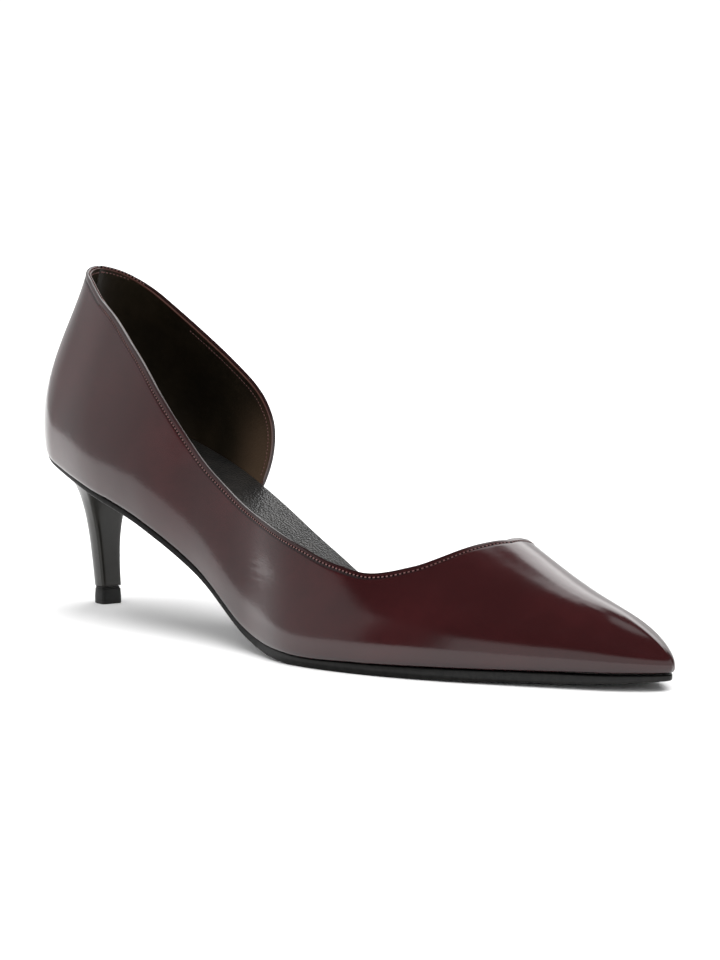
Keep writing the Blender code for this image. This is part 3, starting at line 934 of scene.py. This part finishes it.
class Value:
    """A socket of a finish in a sum: operators add Math nodes."""

    def __init__(self, finish, socket):
        self.finish = finish
        self.socket = socket

    def math(self, operation, *others, **settings):
        terms = dict(enumerate((self, *others)))
        return self.finish.node("ShaderNodeMath", {"operation": operation, **settings}, terms)

    def __add__(self, other):
        return self.math("ADD", other)

    def __radd__(self, other):
        return self.math("ADD", other)

    def __sub__(self, other):
        return self.math("SUBTRACT", other)

    def __rsub__(self, other):
        return self.finish.node("ShaderNodeMath", {"operation": "SUBTRACT"}, {0: other, 1: self})

    def __mul__(self, other):
        return self.math("MULTIPLY", other)

    def __rmul__(self, other):
        return self.math("MULTIPLY", other)

    def __truediv__(self, other):
        return self.math("DIVIDE", other)

    def __neg__(self):
        return self.math("MULTIPLY", -1.0)

    def fraction(self):
        return self.math("FRACT")

    def size(self):
        return self.math("ABSOLUTE")

    def between(self, low, high):
        """0 below low, 1 above high, and a soft slope between; low may be the higher one."""
        return self.finish.node(
            "ShaderNodeMapRange",
            {"interpolation_type": "SMOOTHSTEP"},
            {"Value": self, "From Min": low, "From Max": high, "To Min": 0.0, "To Max": 1.0},
        )


class Tree:
    """The nodes of a material or of the studio's light."""

    def __init__(self, tree, coordinates):
        self.tree = tree
        self.coordinates = self.node("ShaderNodeTexCoord", {}, {}, coordinates)

    def node(self, kind, settings, sockets, out=0):
        """Adds a node: its settings are set first, then its sockets get values or links."""
        node = self.tree.nodes.new(kind)
        for name, value in settings.items():
            setattr(node, name, value)
        for name, value in sockets.items():
            self.feed(node.inputs[name], value)
        return Value(self, node.outputs[out])

    def feed(self, socket, value):
        if isinstance(value, Value):
            self.tree.links.new(value.socket, socket)
        elif isinstance(value, tuple) and len(value) == 3 and socket.type == "RGBA":
            socket.default_value = (*value, 1)
        else:
            socket.default_value = value

    def axis(self, name):
        return self.node("ShaderNodeSeparateXYZ", {}, {0: self.coordinates}, name)

    def mix(self, share, first, second):
        """A colour between two."""
        return self.node("ShaderNodeMix", {"data_type": "RGBA"}, {0: share, 6: first, 7: second}, 2)


class Finish(Tree):
    """A material with one shader, whose fixed values are given by name."""

    def __init__(self, name, **fixed):
        self.material = bpy.data.materials.new(name)
        self.material.use_nodes = True
        super().__init__(self.material.node_tree, "Object")
        self.shader = self.tree.nodes["Principled BSDF"]
        for socket, value in fixed.items():
            self.shader.inputs[socket.replace("_", " ")].default_value = value

    def noise(self, scale, detail=2.0, roughness=0.5):
        sockets = {"Vector": self.coordinates, "Scale": scale, "Detail": detail, "Roughness": roughness}
        return self.node("ShaderNodeTexNoise", {}, sockets)

    def cells(self, scale):
        sockets = {"Vector": self.coordinates, "Scale": scale}
        return self.node("ShaderNodeTexVoronoi", {"feature": "SMOOTH_F1"}, sockets)

    def read(self, name):
        """A value of the piece's own attribute."""
        return self.node("ShaderNodeAttribute", {"attribute_name": name}, {}, "Fac")

    def bump(self, height, distance, strength=1.0, below=None):
        sockets = {"Height": height, "Distance": distance, "Strength": strength}
        if below is not None:
            sockets["Normal"] = below
        return self.node("ShaderNodeBump", {}, sockets)

    def give(self, **links):
        for socket, value in links.items():
            self.feed(self.shader.inputs[socket.replace("_", " ")], value)
        return self.material


def burgundy_leather():
    """Polished box leather: deep burgundy and fine pores, with painted shade along the stitch groove, in the
    needle holes and at the feather.
    """
    finish = Finish("burgundy_leather", Coat_Roughness=0.08, Specular_IOR_Level=0.45)
    edge = finish.read("edge")
    run = finish.read("run")
    foot = finish.read("foot")
    cloud = finish.noise(45.0, 3.0, 0.5)
    mottle = finish.noise(420.0, 3.0, 0.6)
    base = finish.mix(cloud.between(0.35, 0.7), (0.018, 0.0036, 0.0040), (0.026, 0.0050, 0.0056))
    base = finish.mix(mottle.between(0.45, 0.75) * 0.35, base, (0.016, 0.0032, 0.0038))
    rim = edge.between(0.0010, 0.0002)
    base = finish.mix(rim * 0.8, base, (0.008, 0.003, 0.003))
    # Painted shade: the leather darkens towards the feather, where it meets the sole.
    low = foot.between(0.0022, 0.0004)
    base = finish.mix(low * 0.6, base, (0.012, 0.004, 0.005))
    row = (edge - STITCH_IN).size()
    place = ((run / STITCH_PITCH).fraction() - 0.5).size()
    # Painted shade along the groove of the stitch row; the same mask also roughens the leather there.
    sewn = row.between(0.00060, 0.00025)
    base = finish.mix(sewn * 0.7, base, (0.007, 0.002, 0.0025))
    # Painted shade: near black in the needle holes between the stitches, which the bump below also dents.
    holes = row.between(0.00048, 0.00026) * place.between(0.26, 0.34)
    base = finish.mix(holes * 0.9, base, (0.002, 0.001, 0.001))
    pores = finish.cells(2600.0)
    grain = finish.noise(3300.0, 2.0, 0.6)
    height = pores * 0.6 + grain * 0.5 - holes * 4.0
    waves = finish.noise(95.0, 2.0, 0.45)
    ripples = finish.noise(330.0, 2.0, 0.5)
    soft = finish.bump(waves + ripples * 0.16, 0.00020, 0.5)
    normal = finish.bump(height, 0.00004, 0.4, soft)
    rough = finish.noise(160.0, 2.0) * 0.06 + rim * 0.12 + sewn * 0.35 + 0.115
    polish = finish.noise(60.0) * 0.1 + 0.02
    return finish.give(Base_Color=base, Roughness=rough, Normal=normal, Coat_Weight=polish)


def lining_leather():
    """Olive-brown lining with a tan cut edge: painted shade deepens it to near black inside the shoe, and
    painted light leaves it a lighter brown low at the front, by the opening.
    """
    finish = Finish("lining_leather", Specular_IOR_Level=0.5)
    edge = finish.read("edge")
    cloud = finish.noise(70.0, 3.0, 0.6)
    # The lining's own dark olive-brown, deepened to near black as painted shade inside the shoe.
    base = finish.mix(cloud.between(0.3, 0.75), (0.010, 0.0075, 0.0045), (0.017, 0.012, 0.007))
    # Painted light: lighter brown low at the front, where light comes in through the opening.
    front = finish.axis("X").between(-0.086, -0.068) * finish.axis("Z").between(0.070, 0.050)
    base = finish.mix(front * 0.8, base, (0.075, 0.048, 0.030))
    base = finish.mix(edge.between(0.00040, 0.00020), base, (0.040, 0.016, 0.012))
    pores = finish.cells(1900.0)
    normal = finish.bump(pores + finish.noise(900.0) * 0.5, 0.00005, 0.5)
    rough = finish.noise(300.0) * 0.12 + 0.28
    return finish.give(Base_Color=base, Roughness=rough, Normal=normal)


def insole_leather():
    """Black pebbled leather over the insole."""
    finish = Finish("insole_leather", Specular_IOR_Level=0.28)
    cells = finish.cells(1750.0)
    fine = finish.noise(2200.0, 2.0, 0.6)
    cloud = finish.noise(120.0, 3.0)
    base = finish.mix(cloud.between(0.3, 0.7), (0.010, 0.010, 0.010), (0.017, 0.016, 0.015))
    normal = finish.bump(cells + fine * 0.25, 0.00030, 1.0)
    rough = finish.noise(500.0) * 0.10 + 0.30
    return finish.give(Base_Color=base, Roughness=rough, Normal=normal)


def sole_leather():
    """Black sole leather: burnished edge, and a brushed face below."""
    finish = Finish("sole_leather", Specular_IOR_Level=0.06, Coat_Roughness=0.25)
    fibres = finish.noise(700.0, 4.0, 0.7)
    base = finish.mix(fibres.between(0.3, 0.7), (0.004, 0.004, 0.004), (0.009, 0.0085, 0.008))
    normal = finish.bump(fibres, 0.00006, 0.5)
    rough = finish.noise(250.0) * 0.15 + 0.34
    waxed = finish.axis("X").between(0.000, 0.035) * finish.axis("Z").between(0.0012, 0.0020) * 0.22
    return finish.give(Base_Color=base, Roughness=rough, Normal=normal, Coat_Weight=waxed)


def heel_lacquer():
    """Charcoal lacquer over the moulded heel."""
    finish = Finish("heel_lacquer", Coat_Roughness=0.10, Specular_IOR_Level=0.25)
    cloud = finish.noise(110.0, 3.0, 0.5)
    base = finish.mix(cloud.between(0.3, 0.7), (0.010, 0.0096, 0.0080), (0.015, 0.0140, 0.0118))
    normal = finish.bump(finish.noise(1500.0, 2.0), 0.00002, 0.3)
    rough = finish.noise(300.0) * 0.08 + 0.20
    return finish.give(Base_Color=base, Roughness=rough, Normal=normal, Coat_Weight=finish.noise(80.0) * 0.1)


def tip_rubber():
    """Matt black rubber of the top piece, a little lighter towards the floor."""
    finish = Finish("tip_rubber", Specular_IOR_Level=0.25)
    speckle = finish.noise(2600.0, 3.0, 0.7)
    low = finish.axis("Z").between(0.0012, 0.0)
    base = finish.mix(speckle.between(0.3, 0.7), (0.004, 0.004, 0.004), (0.009, 0.009, 0.0085))
    base = finish.mix(low * 0.3, base, (0.030, 0.029, 0.027))
    normal = finish.bump(speckle, 0.00005, 0.6)
    rough = finish.noise(600.0) * 0.15 + 0.45
    return finish.give(Base_Color=base, Roughness=rough, Normal=normal)


def thread():
    """Twisted waxed thread: dark burgundy, coloured lighter and pinker as painted sheen of its glints."""
    finish = Finish("thread", Specular_IOR_Level=0.5)
    twist = finish.noise(5200.0, 2.0, 0.5)
    # Painted sheen: these pinkish tones are lighter than the dark burgundy thread and stand in for its
    # glints; the twist varies them.
    base = finish.mix(twist.between(0.35, 0.65), (0.085, 0.036, 0.034), (0.170, 0.085, 0.078))
    normal = finish.bump(twist, 0.00004, 0.6)
    return finish.give(Base_Color=base, Roughness=twist * 0.2 + 0.3, Normal=normal)


def needle_shade():
    """The dark in the needle holes between the stitches."""
    finish = Finish("needle_shade", Roughness=0.9, Specular_IOR_Level=0.0)
    tone = finish.mix(finish.noise(3000.0), (0.0008, 0.0004, 0.0004), (0.002, 0.001, 0.001))
    return finish.give(Base_Color=tone)


def pale_floor():
    finish = Finish("pale_floor", Roughness=0.75, Specular_IOR_Level=0.2)
    tone = finish.mix(finish.noise(3.0, 2.0).between(0.2, 0.8), (0.90, 0.90, 0.90), (0.92, 0.92, 0.92))
    return finish.give(Base_Color=tone)


# The shoe

upper, inner_lining, edge_points, edge_way = make_upper()


def away_from_foot(spot):
    """Roughly out of the shoe at a spot of the upper: level, from the middle of the last's section."""
    along = float(np.clip(spot.x - SHIFT[0], 0.012, 0.235))
    middle = Vector((along + SHIFT[0], float(CREST_Y(along)) + SHIFT[1], float(FEATHER(along)) + 0.012))
    out = Vector(spot) - middle
    return out.normalized()


outer_stitches = make_stitches(
    "topline_stitches", upper, edge_points, edge_way, away_from_foot, 0.0, radians(6)
)
lining_stitches = make_stitches(
    "lining_stitches", inner_lining, edge_points, edge_way, away_from_foot, LINING_DEEP, radians(-6)
)
# Near-black blobs in the needle holes between the stitches: painted shade
needle_hole_shades = make_stitches(
    "needle_hole_shades", upper, edge_points, edge_way, away_from_foot, 0.0, 0.0, 0.0, NEEDLE_HOLE_SHADE
)
outsole = make_outsole()
insole = make_insole()
heel = make_heel()
tip = make_tip()

Piece = namedtuple("Piece", "thing finish slot nodes")
PIECES = (
    Piece(upper, burgundy_leather(), "upper_leather", ("upper",)),
    Piece(inner_lining, lining_leather(), "upper_leather", ()),
    Piece(outer_stitches, thread(), "upper_leather", ()),
    Piece(lining_stitches, thread(), "upper_leather", ()),
    Piece(needle_hole_shades, needle_shade(), "upper_leather", ()),
    Piece(outsole, sole_leather(), "sole_leather", ("outsole",)),
    Piece(insole, insole_leather(), "insole_leather", ("insole",)),
    Piece(heel, heel_lacquer(), "heel_lacquer", ("heel",)),
    Piece(tip, tip_rubber(), "tip_rubber", ("heel_tip",)),
)
for piece in PIECES:
    piece.thing.data.materials.clear()
    piece.thing.data.materials.append(piece.finish)
    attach(piece.thing, "root")
    if piece.nodes:
        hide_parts(*piece.nodes)


# Floor, light and camera

bpy.ops.mesh.primitive_circle_add(vertices=96, radius=9.0, fill_type="NGON")
floor = bpy.context.object
floor.name = "floor"
floor.data.materials.append(pale_floor())

# The studio's walls by the way one looks from the shoe, in degrees: azimuth 0 is -Y and 90 is +X
Panel = namedtuple("Panel", "left right bottom top soft glow")
DIM = 0.05
PANELS = (
    Panel(-205, -112, -90, 7, 6, 0.55),
    Panel(-140, -120, -4, 4, 2, 0.60),
    Panel(-168, -134, 7, 20, 9, 0.9),
    Panel(-168, -134, 19, 45, 9, 2.5),
    Panel(-142, -126, 42, 57, 4, 1.6),
    Panel(-178, -147, 60, 74, 5, 1.2),
    Panel(-112, -22, -90, 36, 6, 0.74),
    Panel(-22, 2, -90, 0, 6, 0.90),
    Panel(-22, 2, 3, 36, 6, 0.10),
    Panel(2, 155, -90, 30, 9, 1.15),
)
world = bpy.data.worlds.new("studio")
bpy.context.scene.world = world
world.use_nodes = True
world.node_tree.nodes["Background"].inputs["Color"].default_value = (1.0, 1.0, 1.0, 1)
studio = Tree(world.node_tree, "Generated")
to_degrees = 180 / pi
azimuth = studio.axis("X").math("ARCTAN2", -studio.axis("Y")) * to_degrees
elevation = studio.axis("Z").math("ARCSINE") * to_degrees
glow = DIM
for panel in PANELS:
    turned = (azimuth - (panel.left + panel.right) / 2 + 540).math("MODULO", 360) - 180
    half = (panel.right - panel.left) / 2
    mask = turned.size().between(half + panel.soft / 2, half - panel.soft / 2)
    mask = mask * elevation.between(panel.bottom - panel.soft / 2, panel.bottom + panel.soft / 2)
    mask = mask * elevation.between(panel.top + panel.soft / 2, panel.top - panel.soft / 2)
    glow = glow + mask * (panel.glow - DIM)
studio.feed(world.node_tree.nodes["Background"].inputs["Strength"], glow)


def way_back(azimuth_degrees, elevation_degrees):
    """Unit vector from the shoe towards an azimuth and elevation."""
    turn, lift = radians(azimuth_degrees), radians(elevation_degrees)
    return Vector((sin(turn) * cos(lift), -cos(turn) * cos(lift), sin(lift)))


# A high soft key and a lower fill that lightens the shade below the arch; neither shows in the gloss
Lamp = namedtuple("Lamp", "name azimuth elevation power wide")
for lamp in (Lamp("key", 120, 78, 4.2, 80), Lamp("fill", 20, 38, 2.0, 100)):
    light = bpy.data.lights.new(lamp.name, "SUN")
    light.energy = lamp.power
    light.angle = radians(lamp.wide)
    thing = bpy.data.objects.new(lamp.name, light)
    bpy.context.scene.collection.objects.link(thing)
    thing.rotation_mode = "QUATERNION"
    thing.rotation_quaternion = way_back(lamp.azimuth, lamp.elevation).to_track_quat("Z", "Y")
    thing.visible_glossy = False

camera = bpy.data.objects.new("camera", bpy.data.cameras.new("camera"))
bpy.context.scene.collection.objects.link(camera)
back = way_back(CAMERA_AZIMUTH, CAMERA_ELEVATION)
camera.location = Vector(CAMERA_TARGET) + Vector(SHIFT) + back * CAMERA_FAR
camera.rotation_mode = "QUATERNION"
camera.rotation_quaternion = back.to_track_quat("Z", "Y")
camera.data.lens = CAMERA_LENS
camera.data.sensor_width = 36
camera.data.clip_start = 0.05
camera.data.clip_end = 30
bpy.context.scene.camera = camera
bpy.context.scene.view_settings.view_transform = "Standard"
